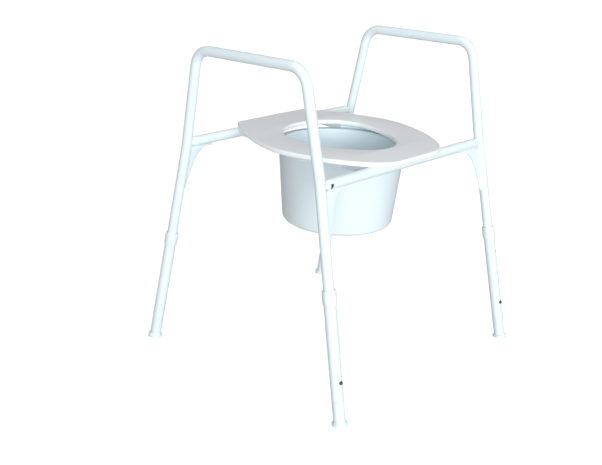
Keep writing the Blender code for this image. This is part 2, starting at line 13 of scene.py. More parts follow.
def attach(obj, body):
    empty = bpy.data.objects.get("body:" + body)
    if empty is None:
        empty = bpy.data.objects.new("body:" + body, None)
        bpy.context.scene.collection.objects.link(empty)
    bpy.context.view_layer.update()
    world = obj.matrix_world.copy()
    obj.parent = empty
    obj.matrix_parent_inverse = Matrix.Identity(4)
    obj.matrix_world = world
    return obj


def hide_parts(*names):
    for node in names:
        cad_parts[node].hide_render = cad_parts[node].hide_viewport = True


# ---- dimensions, as in the CAD model ------------------------------------------------------------

TUBE_RADIUS = 0.0111
TUBE_WALL = 0.0015
SLEEVE_RADIUS = 0.0127
SLEEVE_WALL = 0.0012
GAP = 0.0003

ARM_HEIGHT = 0.699
ARM_HALF_WIDTH = 0.281
ARM_HALF_LENGTH = 0.153
ARM_MIDDLE_Y = -0.006
ARM_BEND_RADIUS = 0.0444
KINK_HEIGHT = 0.482
KINK_HALF_WIDTH = 0.276
KINK_BEND_RADIUS = 0.080
FOOT_HALF_WIDTH = 0.2985
FRONT_LEAN = 0.193
REAR_LEAN = 0.210
FRONT_RAIL_HEIGHT = 0.4748
REAR_RAIL_HEIGHT = 0.4902
CAP_LENGTH = 0.0215
CAP_SPIGOT = 0.0155
SLOT_NEAR = 0.0035
SLOT_FAR = 0.0132
SLOT_MIDDLE = 0.0084
SLOT_FLOOR = 0.0045
SLOT_LOW = -0.0090
SLOT_HIGH = 0.0038
SLOT_TAPER = 0.6
# radius of the dark rod that paints shade into the cap slots
SHADE_ROD_RADIUS = 0.0100
WELD_RADIUS = 0.0010
SUPPORT_WELD_RADIUS = 0.0012

GUSSET_THICKNESS = 0.0035
GUSSET_REACH = 0.076
GUSSET_DROP = 0.112

HOLE_COUNT = 6
HOLE_PITCH = 0.0254
HOLE_RADIUS = 0.0045
BUTTON_UP = 0.0900
BUTTON_RADIUS = 0.0040
BUTTON_PROUD = 0.0160
TUBE_END_UP = 0.0700
SLEEVE_END_UP = 0.0520
SLEEVE_TOP_UP = 0.2725
COLLAR_TOP_UP = 0.2790
COLLAR_LENGTH = 0.0285
COLLAR_RADIUS = 0.0147
FOOT_RADIUS = 0.0162
FOOT_FLANGE = 0.0065
SPIGOT_TOP_UP = 0.0665

SEAT_BOTTOM = 0.0095
SEAT_TOP = 0.0201
SEAT_EDGE_RADIUS = 0.0030
SEAT_HALF_WIDTH = 0.2028
SEAT_REAR_HALF_WIDTH = 0.1086
SEAT_FRONT_HALF_WIDTH = 0.0586
SEAT_REAR = 0.0162
SEAT_FRONT = -0.4205
SEAT_WIDEST = -0.2023
HOLE_MIDDLE = -0.1695
HOLE_HALF_WIDTH = 0.1143
HOLE_REAR_REACH = 0.0938
HOLE_FRONT_REACH = 0.1720

CLIP_MIDDLE = 0.0909
CLIP_WIDTH = 0.034
CLIP_TOP = 0.0136
CLIP_FLANGE = 0.0040

PAN_FROM_HINGE = -0.2095
PAN_RIM_RADIUS = 0.142
PAN_BASE_RADIUS = 0.126
PAN_DEPTH = 0.175
PAN_WALL = 0.0025
PAN_LIP_RADIUS = 0.1535
PAN_LIP_THICKNESS = 0.003
PAN_RIM_HEIGHT = -0.0024
HOLDER_RADIUS = 0.1545
HOLDER_ARM_X = 0.1155
HOLDER_WALL = 0.0025
HOLDER_LEDGE_RADIUS = 0.1462
HOLDER_LEDGE = 0.003
HOLDER_LOW = -0.0090
HOLDER_HIGH = 0.0080

# ---- camera and light ---------------------------------------------------------------------------

CAMERA_PLACE = (-1.6161, -1.3872, 1.0009)
CAMERA_RIGHT = (0.68274665, -0.73029225, 0.02302678)
CAMERA_FORWARD = (0.69532701, 0.63973105, -0.32751265)
CAMERA_LENS = 57.64
FLOOR_SIZE = 60
FLOOR_GLOW = (0.50, 0.80)
WORLD_COLOR = (1.0, 0.95, 0.94)
WORLD_STRENGTH = 0.39
KEY_PLACE = (-3.52, -5.22, 1.45)
KEY_TARGET = (0, 0, 0.40)
KEY_SIZE = (6.0, 2.4)
KEY_POWER = 405.0
KEY_COLOR = (0.92, 0.98, 1.0)
TOP_PLACE = (0.2, -0.2, 3.1)
TOP_TARGET = (0, 0, 0.3)
TOP_SIZE = (2.5, 2.5)
TOP_POWER = 20.0

SIDES = {"right": -1, "left": 1}
ENDS = {"front": -1, "rear": 1}

# ---- places, as in the CAD model ----------------------------------------------------------------


def leg_point(side, end, height):
    lean = FRONT_LEAN if end < 0 else REAR_LEAN
    y = ARM_MIDDLE_Y + end * (ARM_HALF_LENGTH + lean * (ARM_HEIGHT - height))
    if height >= KINK_HEIGHT:
        share = (height - KINK_HEIGHT) / (ARM_HEIGHT - KINK_HEIGHT)
        x = KINK_HALF_WIDTH + share * (ARM_HALF_WIDTH - KINK_HALF_WIDTH)
    else:
        share = height / KINK_HEIGHT
        x = FOOT_HALF_WIDTH + share * (KINK_HALF_WIDTH - FOOT_HALF_WIDTH)
    return Vector((side * x, y, height))


def rail_point(end):
    height = FRONT_RAIL_HEIGHT if end < 0 else REAR_RAIL_HEIGHT
    return Vector((0, leg_point(1, end, height).y, height))


def leg_matrix(side, end):
    foot = leg_point(side, end, 0)
    up = (leg_point(side, end, KINK_HEIGHT) - foot).normalized()
    out = Vector((0, end, 0))
    out = (out - up * out.dot(up)).normalized()
    axes = Matrix((out.cross(up), out, up)).transposed()
    return Matrix.Translation(foot) @ axes.to_4x4()


def seat_matrix():
    rear, front = rail_point(1), rail_point(-1)
    slope = atan2(rear.z - front.z, rear.y - front.y)
    return Matrix.Translation(rear) @ Matrix.Rotation(slope, 4, "X")


def front_rail_y():
    reach = rail_point(1) - rail_point(-1)
    return -hypot(reach.y, reach.z)


def cross_tube_half(end):
    return leg_point(1, end, rail_point(end).z).x - TUBE_RADIUS - CAP_LENGTH


def rounded_path(corners, steps):
    """Points along straight lines whose inner corners are (point, bend radius) arcs."""
    path = [corners[0][0]]
    for (before, _), (corner, radius), (after, _) in zip(corners, corners[1:], corners[2:]):
        u, v = (before - corner).normalized(), (after - corner).normalized()
        half = u.angle(v) / 2
        centre = corner + (u + v).normalized() * (radius / sin(half))
        start = corner + u * (radius / tan(half)) - centre
        end = corner + v * (radius / tan(half)) - centre
        turn = start.angle(end)
        count = max(4, round(turn / radians(90) * steps))
        for i in range(count + 1):
            share = i / count
            weight = (sin((1 - share) * turn), sin(share * turn))
            path.append(centre + (start * weight[0] + end * weight[1]) / sin(turn))
    path.append(corners[-1][0])
    return path


def side_path(side):
    corners = []
    for end in (1, -1):
        local = leg_matrix(side, end)
        leg = [
            (leg_point(side, end, ARM_HEIGHT), ARM_BEND_RADIUS),
            (leg_point(side, end, KINK_HEIGHT), KINK_BEND_RADIUS),
            (local @ Vector((0, 0, TUBE_END_UP)), 0),
        ]
        corners += leg[::-1] if end > 0 else leg
    return rounded_path(corners, steps=24)


# ---- materials ----------------------------------------------------------------------------------


def tinted(name, light, dark, roughness, grain, relief, blotch, metallic=0.0, coat=0.0):
    """Principled material: colour drifts softly from light to dark, with a fine bump of that grain.

    roughness is (lowest, highest). grain is in features per metre, relief in metres.
    """
    made = bpy.data.materials.new(name)
    made.use_nodes = True
    nodes, links = made.node_tree.nodes, made.node_tree.links
    shader = nodes["Principled BSDF"]
    shader.inputs["Metallic"].default_value = metallic
    shader.inputs["Coat Weight"].default_value = coat
    shader.inputs["Coat Roughness"].default_value = 0.18
    place = nodes.new("ShaderNodeTexCoord")

    drift = nodes.new("ShaderNodeTexNoise")
    drift.inputs["Scale"].default_value = blotch
    drift.inputs["Detail"].default_value = 4.0
    links.new(place.outputs["Object"], drift.inputs["Vector"])
    colours = nodes.new("ShaderNodeValToRGB")
    colours.color_ramp.elements[0].position = 0.30
    colours.color_ramp.elements[0].color = (*dark, 1)
    colours.color_ramp.elements[1].position = 0.70
    colours.color_ramp.elements[1].color = (*light, 1)
    links.new(drift.outputs["Fac"], colours.inputs["Fac"])
    links.new(colours.outputs["Color"], shader.inputs["Base Color"])

    polish = nodes.new("ShaderNodeTexNoise")
    polish.inputs["Scale"].default_value = blotch * 9
    polish.inputs["Detail"].default_value = 5.0
    links.new(place.outputs["Object"], polish.inputs["Vector"])
    spread = nodes.new("ShaderNodeMapRange")
    spread.inputs["From Min"].default_value = 0.3
    spread.inputs["From Max"].default_value = 0.7
    spread.inputs["To Min"].default_value = roughness[0]
    spread.inputs["To Max"].default_value = roughness[1]
    links.new(polish.outputs["Fac"], spread.inputs["Value"])
    links.new(spread.outputs["Result"], shader.inputs["Roughness"])

    skin = nodes.new("ShaderNodeTexNoise")
    skin.inputs["Scale"].default_value = grain
    skin.inputs["Detail"].default_value = 3.0
    links.new(place.outputs["Object"], skin.inputs["Vector"])
    bump = nodes.new("ShaderNodeBump")
    bump.inputs["Strength"].default_value = 1.0
    bump.inputs["Distance"].default_value = relief
    links.new(skin.outputs["Fac"], bump.inputs["Height"])
    links.new(bump.outputs["Normal"], shader.inputs["Normal"])
    return made


def brushed_steel():
    """Zinc-plated steel with fine drawing lines along its local Z axis."""
    made = tinted(
        "zinc_steel", (0.62, 0.63, 0.65), (0.52, 0.53, 0.55),
        (0.24, 0.40), 900, 0.00002, 60, 1.0
    )
    nodes, links = made.node_tree.nodes, made.node_tree.links
    stretch = nodes.new("ShaderNodeMapping")
    stretch.inputs["Scale"].default_value = (1.0, 1.0, 0.04)
    place = next(n for n in nodes if n.type == "TEX_COORD")
    skin = next(n for n in nodes if n.type == "TEX_NOISE" and n.inputs["Scale"].default_value == 900)
    links.new(place.outputs["Object"], stretch.inputs["Vector"])
    links.new(stretch.outputs["Vector"], skin.inputs["Vector"])
    return made


def seat_finish_with_painted_side_light():
    """Grained plastic whose sides (faces with a low normal Z) get a lighter colour than its flat faces:
    painted light, standing in for the brighter light on the seat's edges.
    """
    made = tinted(
        "seat_plastic", (0.84, 0.89, 0.915), (0.815, 0.865, 0.89),
        (0.42, 0.52), 1300, 0.00006, 6
    )
    nodes, links = made.node_tree.nodes, made.node_tree.links
    shader = nodes["Principled BSDF"]
    colours = next(n for n in nodes if n.type == "VALTORGB")
    place = next(n for n in nodes if n.type == "TEX_COORD")
    parts = nodes.new("ShaderNodeSeparateXYZ")
    links.new(place.outputs["Normal"], parts.inputs["Vector"])
    flat = nodes.new("ShaderNodeMath")
    flat.operation = "ABSOLUTE"
    links.new(parts.outputs["Z"], flat.inputs[0])
    share = nodes.new("ShaderNodeMapRange")
    share.inputs["From Min"].default_value = 0.60
    share.inputs["From Max"].default_value = 0.96
    links.new(flat.outputs["Value"], share.inputs["Value"])
    # Painted light: sides take the lighter colour A and flat faces keep the grey tint, so the edges look
    # more brightly lit than the top.
    painted_side_light_mix = nodes.new("ShaderNodeMix")
    painted_side_light_mix.data_type = "RGBA"
    painted_side_light_mix.inputs["A"].default_value = (0.95, 0.975, 0.98, 1)
    links.new(share.outputs["Result"], painted_side_light_mix.inputs["Factor"])
    links.new(colours.outputs["Color"], painted_side_light_mix.inputs["B"])
    links.new(painted_side_light_mix.outputs["Result"], shader.inputs["Base Color"])
    return made


# ---- mesh helpers -------------------------------------------------------------------------------


def smooth(mesh, angle=32):
    mesh.shade_smooth()
    mesh.set_sharp_from_angle(angle=radians(angle))


def put(name, mesh, finish, matrix=None, angle=32):
    """Object in the scene, with its place written into its vertices."""
    if matrix is not None:
        mesh.transform(matrix)
    work = bmesh.new()
    work.from_mesh(mesh)
    bmesh.ops.remove_doubles(work, verts=work.verts, dist=0.000002)
    bmesh.ops.recalc_face_normals(work, faces=work.faces)
    work.to_mesh(mesh)
    work.free()
    smooth(mesh, angle)
    mesh.name = name
    obj = bpy.data.objects.new(name, mesh)
    bpy.context.scene.collection.objects.link(obj)
    mesh.materials.clear()
    mesh.materials.append(finish)
    return obj


def shell(rings, close_rings=True, caps=False, close_stack=False):
    """Mesh from a stack of rings of points. A ring of one point is a pole."""
    mesh = bpy.data.meshes.new("shell")
    work = bmesh.new()
    stack = [[work.verts.new(p) for p in points] for points in rings]
    pairs = list(zip(stack, stack[1:]))
    if close_stack:
        pairs.append((stack[-1], stack[0]))
    for upper, lower in pairs:
        count = max(len(upper), len(lower))
        for i in range(count if close_rings else count - 1):
            j = (i + 1) % count
            if len(upper) == 1 and len(lower) == 1:
                continue
            if len(upper) == 1:
                work.faces.new((upper[0], lower[j], lower[i]))
            elif len(lower) == 1:
                work.faces.new((upper[i], upper[j], lower[0]))
            else:
                work.faces.new((upper[i], upper[j], lower[j], lower[i]))
    if caps:
        work.faces.new(stack[0])
        work.faces.new(stack[-1][::-1])
    work.to_mesh(mesh)
    work.free()
    return mesh


def circle(radius, height, steps):
    if radius < 0.000001:
        return [Vector((0, 0, height))]
    return [
        Vector((radius * cos(2 * pi * i / steps), radius * sin(2 * pi * i / steps), height))
        for i in range(steps)
    ]


def lathe(profile, steps=64, loop=False):
    """Solid of revolution about Z from (radius, height) points. loop joins the last to the first."""
    return shell([circle(r, z, steps) for r, z in profile], close_stack=loop)


def eased(profile, reach=0.0006, steps=3, loop=False):
    """The same profile with each corner cut back by at most reach and rounded."""
    points = [Vector((r, z)) for r, z in profile]
    made = []
    last = len(points) - 1
    for i, corner in enumerate(points):
        if not loop and i in (0, last):
            made.append(tuple(corner))
            continue
        before, after = points[i - 1], points[(i + 1) % len(points)]
        u, v = before - corner, after - corner
        if u.length < 1e-7 or v.length < 1e-7 or abs(u.angle(v) - pi) < radians(12):
            made.append(tuple(corner))
            continue
        cut = min(reach, 0.4 * u.length, 0.4 * v.length)
        start, end = corner + u.normalized() * cut, corner + v.normalized() * cut
        for k in range(steps + 1):
            t = k / steps
            made.append(tuple(start * (1 - t) ** 2 + corner * 2 * t * (1 - t) + end * t**2))
    return made


def sweep_rings(path, radii, sides):
    """Rings round a path, each turned from the one before by the least that it can be."""
    rings = []
    side = None
    for i, place in enumerate(path):
        before, after = path[max(i - 1, 0)], path[min(i + 1, len(path) - 1)]
        along = (after - before).normalized()
        if side is None:
            side = along.orthogonal().normalized()
        side = (side - along * side.dot(along)).normalized()
        across = along.cross(side)
        radius = radii[i]
        rings.append([
            place + (side * cos(2 * pi * k / sides) + across * sin(2 * pi * k / sides)) * radius
            for k in range(sides)
        ])
    return rings


def swept(path, radius, sides=48):
    """Closed round bar along a path. radius is one number or one for each point."""
    radii = [radius] * len(path) if isinstance(radius, float) else radius
    return shell(sweep_rings(path, radii, sides), caps=True)


def pipe(path, radius, wall, sides=48):
    """Hollow tube along a path, with eased rims at both ends."""
    ease = wall * 0.3
    first, last = (path[1] - path[0]).normalized(), (path[-1] - path[-2]).normalized()
    outside = [path[0], path[0] + first * ease, *path[1:-1], path[-1] - last * ease, path[-1]]
    outer = [radius - ease, *[radius] * (len(outside) - 2), radius - ease]
    inner = [radius - wall + ease, *[radius - wall] * (len(outside) - 2), radius - wall + ease]
    rings = sweep_rings(outside, outer, sides) + sweep_rings(outside, inner, sides)[::-1]
    return shell(rings, close_stack=True)


def block(low, high):
    mesh = bpy.data.meshes.new("block")
    work = bmesh.new()
    size = [b - a for a, b in zip(low, high)]
    middle = [(a + b) / 2 for a, b in zip(low, high)]
    bmesh.ops.create_cube(work, size=1, matrix=Matrix.Translation(middle) @ Matrix.Diagonal((*size, 1)))
    work.to_mesh(mesh)
    work.free()
    return mesh


def rod(radius, low, high, steps=24):
    return lathe([(0, high), (radius, high), (radius, low), (0, low)], steps)


def outline_mesh(loops, thickness, edge_radius=0.0, resolution=24, rounding=3):
    """Plate from closed Bezier loops of (point, handle before, handle after), centred on its XY plane."""
    curve = bpy.data.curves.new("outline", "CURVE")
    curve.dimensions = "2D"
    curve.fill_mode = "BOTH"
    curve.resolution_u = resolution
    curve.bevel_depth = edge_radius
    curve.bevel_resolution = rounding
    curve.offset = -edge_radius
    curve.extrude = thickness / 2 - edge_radius
    for loop in loops:
        spline = curve.splines.new("BEZIER")
        spline.bezier_points.add(len(loop) - 1)
        spline.use_cyclic_u = True
        for knot, (place, before, after) in zip(spline.bezier_points, loop):
            knot.co = (*place, 0)
            knot.handle_left = (*before, 0)
            knot.handle_right = (*after, 0)
    holder = bpy.data.objects.new("outline", curve)
    bpy.context.scene.collection.objects.link(holder)
    graph = bpy.context.evaluated_depsgraph_get()
    mesh = bpy.data.meshes.new_from_object(holder.evaluated_get(graph))
    bpy.data.objects.remove(holder)
    work = bmesh.new()
    work.from_mesh(mesh)
    bmesh.ops.remove_doubles(work, verts=work.verts, dist=0.00001)
    work.to_mesh(mesh)
    work.free()
    return mesh


def knots(points):
    return [(p, p, p) for p in points]


def combined(obj, others, operation="DIFFERENCE", angle=32):
    """Applies a Boolean of obj with each (mesh, matrix) of others, and drops them."""
    for mesh, matrix in others:
        other = put("cutter", mesh, obj.data.materials[0], matrix)
        modifier = obj.modifiers.new("cut", "BOOLEAN")
        modifier.operation = operation
        modifier.solver = "EXACT"
        modifier.object = other
        graph = bpy.context.evaluated_depsgraph_get()
        made = bpy.data.meshes.new_from_object(obj.evaluated_get(graph))
        obj.modifiers.clear()
        old = obj.data
        obj.data = made
        bpy.data.meshes.remove(old)
        bpy.data.objects.remove(other)
    obj.data.name = obj.name
    smooth(obj.data, angle)
    return obj


def finished(obj, body, slot, *nodes):
    """Attaches a piece to the body it rides on and hides the CAD parts that it replaces. slot is not
    used.
    """
    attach(obj, body)
    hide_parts(*nodes)
    return obj


OUT_OF_LEG = Matrix.Rotation(radians(-90), 4, "X")

# ---- frame --------------------------------------------------------------------------------------


def weld_bead(name, path, radius, ripple=0.0011):
    """Painted weld run along a line: a low bead with the rounded steps that each pulse leaves."""
    length = sum((b - a).length for a, b in zip(path, path[1:]))
    count = max(24, int(length / 0.0004))
    fine = []
    for i in range(count + 1):
        at = i / count * (len(path) - 1)
        k = min(int(at), len(path) - 2)
        fine.append(path[k].lerp(path[k + 1], at - k))
    radii = []
    for i in range(count + 1):
        distance = i / count * length
        taper = min(1.0, 0.35 + min(distance, length - distance) / 0.004)
        radii.append(radius * taper * (1 + 0.09 * abs(sin(pi * distance / ripple / 2))))
    obj = put(name, swept(fine, radii, sides=12), paint, angle=60)
    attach(obj, "frame")
    return obj


def make_side_frame(label, side):
    tube = put(f"bent_side_tube_{label}", pipe(side_path(side), TUBE_RADIUS, TUBE_WALL, 56), paint)
    holes = []
    for end in ENDS.values():
        at = leg_matrix(side, end) @ Matrix.Translation((0, 0, BUTTON_UP)) @ OUT_OF_LEG
        holes.append((rod(BUTTON_RADIUS + GAP, 0.006, 0.014), at))
    combined(tube, holes)
    finished(tube, "frame", "frame_paint", f"side_frame_{label}")


def make_cross_tube(label, end):
    middle, half = rail_point(end), cross_tube_half(end)
    path = [middle + Vector((half * x, 0, 0)) for x in (-1, -0.5, 0, 0.5, 1)]
    tube = put(f"cross_tube_{label}", pipe(path, TUBE_RADIUS, TUBE_WALL, 56), paint)
    finished(tube, "frame", "frame_paint", f"{label}_cross_tube")


def make_cap(side_label, side, end_label, end):
    """Domed plug between a cross tube and the leg. Its slot holds a dark rod: painted shade standing in
    for the dark inside of a hollow plug, because the plug itself is drawn solid.
    """
    bore = TUBE_RADIUS - TUBE_WALL - GAP
    tip = CAP_LENGTH + 0.0010
    profile = [
        (0, tip),
        (0.0040, tip - 0.0006),
        (0.0072, tip - 0.0026),
        (0.0096, tip - 0.0060),
        (0.0107, tip - 0.0095),
        (TUBE_RADIUS, tip - 0.0135),
        (TUBE_RADIUS, GAP),
        (bore, GAP),
        (bore, 0.0015 - CAP_SPIGOT),
        (bore - 0.0015, -CAP_SPIGOT),
        (0, -CAP_SPIGOT),
    ]
    middle = rail_point(end)
    start = Matrix.Translation(middle + Vector((side * cross_tube_half(end), 0, 0)))
    name = f"{end_label}_{side_label}"
    along = start @ Matrix.Rotation(side * pi / 2, 4, "Y")
    cap = put(f"tube_end_{name}", lathe(eased(profile, 0.0014, 4), 56), paint, along)
    facing = side if end < 0 else 1
    reach = sorted((facing * SLOT_FLOOR, facing * 0.0140))
    slot = block((SLOT_NEAR, reach[0], SLOT_LOW), (SLOT_FAR, reach[1], SLOT_HIGH))
    for corner in slot.vertices:
        if corner.co.z < 0:
            corner.co.x = SLOT_MIDDLE + SLOT_TAPER * (corner.co.x - SLOT_MIDDLE)
    outward = start @ Matrix.Diagonal((side, 1, 1, 1))
    leg = [leg_point(side, end, middle.z + rise) for rise in (-0.05, 0, 0.05)]
    combined(cap, [(swept(leg, TUBE_RADIUS + 0.0007), None), (slot, outward)])
    finished(cap, "frame", "frame_paint", f"cross_tube_cap_{name}")
    # Painted shade: a dark rod just under the slot's opening, filling the slot with the darkness that a
    # hollow plug would show.
    shade_rod = rod(SHADE_ROD_RADIUS, SLOT_NEAR + 0.0001, SLOT_FAR - 0.0001, 40)
    painted_shade_rod = put(f"tube_end_painted_shade_{name}", shade_rod, dark_plastic, along)
    behind = sorted((-facing * 0.02, facing * (SLOT_FLOOR - 0.0001)))
    unwanted = [
        block((0, behind[0], -0.02), (0.02, behind[1], 0.02)),
        block((0, -0.02, SLOT_HIGH - 0.0001), (0.02, 0.02, 0.02)),
        block((0, -0.02, -0.02), (0.02, 0.02, SLOT_LOW + 0.0002)),
    ]
    combined(painted_shade_rod, [(mesh, outward) for mesh in unwanted])
    finished(painted_shade_rod, "frame", "dark_plastic")


def make_gusset(side_label, side, end_label, end):
    """Web plate under a cross tube, with a concave free edge and a weld run along each joint."""
    inner = TUBE_RADIUS
    tip = (GUSSET_REACH, 0.0175)
    start, toe = (GUSSET_REACH - 0.014, 0.0170), (inner + 0.0015, GUSSET_DROP)
    loop = [
        ((0.022, 0.006), (0.022, 0.006), (0.022, 0.006)),
        ((GUSSET_REACH, 0.006), (GUSSET_REACH, 0.006), (GUSSET_REACH, 0.006)),
        (tip, tip, tip),
        ((tip[0] - 0.005, tip[1]), (tip[0] - 0.005, tip[1]), (tip[0] - 0.005, tip[1])),
        (start, start, (0.038, 0.0185)),
        (toe, (0.024, 0.048), toe),
        ((0.006, GUSSET_DROP), (0.006, GUSSET_DROP), (0.006, GUSSET_DROP)),
        ((0.006, 0.024), (0.006, 0.024), (0.006, 0.024)),
    ]
    height = rail_point(end).z
    corner = leg_point(side, end, height)
    down = leg_point(side, end, height - 0.2) - corner
    down = Vector((0, down.y, down.z)).normalized()
    inward = Vector((-side, 0, 0))
    normal = inward.cross(down)
    place = Matrix.Translation(corner) @ Matrix((inward, down, normal)).transposed().to_4x4()
    name = f"{end_label}_{side_label}"
    mesh = outline_mesh([loop], GUSSET_THICKNESS, 0.0005, 32, 2)
    plate = put(f"web_plate_{name}", mesh, paint, place)
    leg = [leg_point(side, end, height + rise) for rise in (0.10, 0.01, -0.05, -0.10, -0.16)]
    rail = [rail_point(end) + Vector((x, 0, 0)) for x in (-0.30, 0, 0.30)]
    combined(plate, [(swept(leg, TUBE_RADIUS + 0.0001), None), (swept(rail, TUBE_RADIUS + 0.0001), None)])
    finished(plate, "frame", "frame_paint", f"gusset_{name}")
    for face_label, face in (("a", 1), ("b", -1)):
        off = normal * face * (GUSSET_THICKNESS / 2 + 0.0002)
        under_tube = corner + down * (TUBE_RADIUS + 0.0001) + off
        along_tube = [under_tube + inward * (0.0195 + i / 8 * (GUSSET_REACH - 0.0225)) for i in range(9)]
        weld_bead(f"weld_tube_{name}_{face_label}", along_tube, WELD_RADIUS)
        down_leg = []
        for i in range(9):
            depth = 0.0215 + i / 8 * (GUSSET_DROP - 0.0260)
            spot = leg_point(side, end, corner.z + down.z * depth)
            down_leg.append(spot + inward * (TUBE_RADIUS + 0.0001) + off)
        weld_bead(f"weld_leg_{name}_{face_label}", down_leg, WELD_RADIUS)


# ---- telescopic legs ----------------------------------------------------------------------------


def make_sleeve(name, place):
    path = [Vector((0, 0, z)) for z in (SLEEVE_END_UP, 0.10, 0.16, 0.22, SLEEVE_TOP_UP)]
    sleeve = put(f"lower_leg_tube_{name}", pipe(path, SLEEVE_RADIUS, SLEEVE_WALL, 64), paint, place)
    holes = []
    for i in range(HOLE_COUNT):
        up = Matrix.Translation((0, 0, BUTTON_UP + i * HOLE_PITCH))
        holes.append((rod(HOLE_RADIUS, 0.008, 0.016, 28), place @ up @ OUT_OF_LEG))
    combined(sleeve, holes)
    finished(sleeve, f"leg_{name}", "frame_paint", f"leg_extension_{name}")


def make_collar(name, place):
    low = COLLAR_TOP_UP - COLLAR_LENGTH
    profile = [
        (COLLAR_RADIUS - 0.0012, COLLAR_TOP_UP),
        (COLLAR_RADIUS, COLLAR_TOP_UP - 0.0014),
        (COLLAR_RADIUS, COLLAR_TOP_UP - 0.0052),
        (COLLAR_RADIUS - 0.00035, COLLAR_TOP_UP - 0.0056),
        (COLLAR_RADIUS - 0.00035, COLLAR_TOP_UP - 0.0062),
        (COLLAR_RADIUS, COLLAR_TOP_UP - 0.0066),
        (COLLAR_RADIUS - 0.0002, low + 0.0010),
        (COLLAR_RADIUS - 0.0009, low),
        (SLEEVE_RADIUS + 0.0001, low),
        (SLEEVE_RADIUS + 0.0001, SLEEVE_TOP_UP + GAP),
        (TUBE_RADIUS + GAP, SLEEVE_TOP_UP + GAP),
        (TUBE_RADIUS + GAP, COLLAR_TOP_UP - 0.0006),
        (TUBE_RADIUS + 0.0009, COLLAR_TOP_UP),
    ]
    mesh = lathe(eased(profile, 0.0004, 3, loop=True), 64, loop=True)
    collar = put(f"collar_{name}", mesh, white_plastic, place)
    finished(collar, f"leg_{name}", "white_plastic", f"leg_collar_{name}")


def make_foot(name, place):
    bore = SLEEVE_RADIUS - SLEEVE_WALL
    shoulder = SLEEVE_END_UP - GAP
    profile = [
        (0, SPIGOT_TOP_UP),
        (bore - 0.0015, SPIGOT_TOP_UP),
        (bore - GAP, SPIGOT_TOP_UP - 0.003),
        (bore - GAP, shoulder),
        (SLEEVE_RADIUS - 0.0003, shoulder),
        (SLEEVE_RADIUS, shoulder - 0.0006),
        (SLEEVE_RADIUS - 0.0004, FOOT_FLANGE + 0.0032),
        (SLEEVE_RADIUS + 0.0002, FOOT_FLANGE + 0.0014),
        (SLEEVE_RADIUS + 0.0014, FOOT_FLANGE + 0.0004),
        (FOOT_RADIUS - 0.0010, FOOT_FLANGE),
        (FOOT_RADIUS, FOOT_FLANGE - 0.0012),
        (FOOT_RADIUS, -0.012),
        (0, -0.012),
    ]
    foot = put(f"foot_{name}", lathe(eased(profile, 0.0006, 3), 64), foot_plastic, place)
    end_label, side_label = name.split("_")
    sole = leg_point(SIDES[side_label], ENDS[end_label], 0)
    floor = block((-0.5, -0.5, -0.1), (0.5, 0.5, 0.0))
    grooves = []
    for radius in (0.0045, 0.0095):
        out, within = radius + 0.0006, radius - 0.0006
        ring = [(out, 0.0007), (out, -0.001), (within, -0.001), (within, 0.0007)]
        grooves.append((lathe(ring, 48, loop=True), Matrix.Translation(sole)))
    combined(foot, [(floor, None), *grooves])
    finished(foot, f"leg_{name}", "white_plastic", f"foot_tip_{name}")


def make_button(name, place):
    profile = [
        (0, BUTTON_PROUD),
        (0.0012, BUTTON_PROUD - 0.0001),
        (0.0024, BUTTON_PROUD - 0.0006),
        (0.0033, BUTTON_PROUD - 0.0014),
        (0.0038, BUTTON_PROUD - 0.0023),
        (BUTTON_RADIUS, BUTTON_PROUD - 0.0034),
        (BUTTON_RADIUS, 0.0078),
        (0.0050, 0.0078),
        (0.0050, 0.0072),
        (0, 0.0072),
    ]
    axis = place @ Matrix.Translation((0, 0, BUTTON_UP)) @ OUT_OF_LEG
    button = put(f"push_button_{name}", lathe(eased(profile, 0.0004, 3), 40), dark_plastic, axis)
    finished(button, f"button_{name}", "dark_plastic", f"snap_button_{name}")


# ---- seat ---------------------------------------------------------------------------------------


def seat_outline():
    rear, front, wide = SEAT_REAR_HALF_WIDTH, SEAT_FRONT_HALF_WIDTH, SEAT_HALF_WIDTH
    half = [
        ((rear, SEAT_REAR), (rear / 3, SEAT_REAR + 0.0008), (rear + 0.043, -0.034)),
        ((wide, SEAT_WIDEST), (wide, SEAT_WIDEST + 0.069), (wide, SEAT_WIDEST - 0.060)),
        ((front, SEAT_FRONT), (front + 0.082, SEAT_FRONT), (front / 3, SEAT_FRONT - 0.0008)),
    ]
    mirrored = [((-p[0], p[1]), (-b[0], b[1]), (-a[0], a[1])) for p, a, b in reversed(half)]
    return [*half, *mirrored]


def egg_outline():
    handle = 4 / 3 * (sqrt(2) - 1)
    wide, rear, front = HOLE_HALF_WIDTH, HOLE_REAR_REACH, HOLE_FRONT_REACH
    y = HOLE_MIDDLE
    return [
        ((wide, y), (wide, y - handle * front), (wide, y + handle * rear)),
        ((0, y + rear), (handle * wide, y + rear), (-handle * wide, y + rear)),
        ((-wide, y), (-wide, y + handle * rear), (-wide, y - handle * front)),
        ((0, y - front), (-handle * wide, y - front), (handle * wide, y - front)),
    ]


def make_seat(place):
    thickness = SEAT_TOP - SEAT_BOTTOM
    mesh = outline_mesh([seat_outline(), egg_outline()], thickness, SEAT_EDGE_RADIUS, 40, 4)
    middle = place @ Matrix.Translation((0, 0, (SEAT_TOP + SEAT_BOTTOM) / 2))
    seat = put("seat_plate", mesh, seat_plastic, middle)
    across = Matrix.Rotation(pi / 2, 4, "Y")
    cutters = []
    for y in (front_rail_y(), 0):
        groove = rod(TUBE_RADIUS + GAP, -0.25, 0.25, 96)
        cutters.append((groove, place @ Matrix.Translation((0, y, 0)) @ across))
    for side in SIDES.values():
        centre, half = side * CLIP_MIDDLE, CLIP_WIDTH / 2 + 0.0004
        low = (centre - half, -0.0356, SEAT_BOTTOM - 0.002)
        high = (centre + half, 0.0300, CLIP_TOP + GAP)
        cutters.append((block(low, high), place))
    combined(seat, cutters)
    finished(seat, "seat", "seat_plastic", "seat")


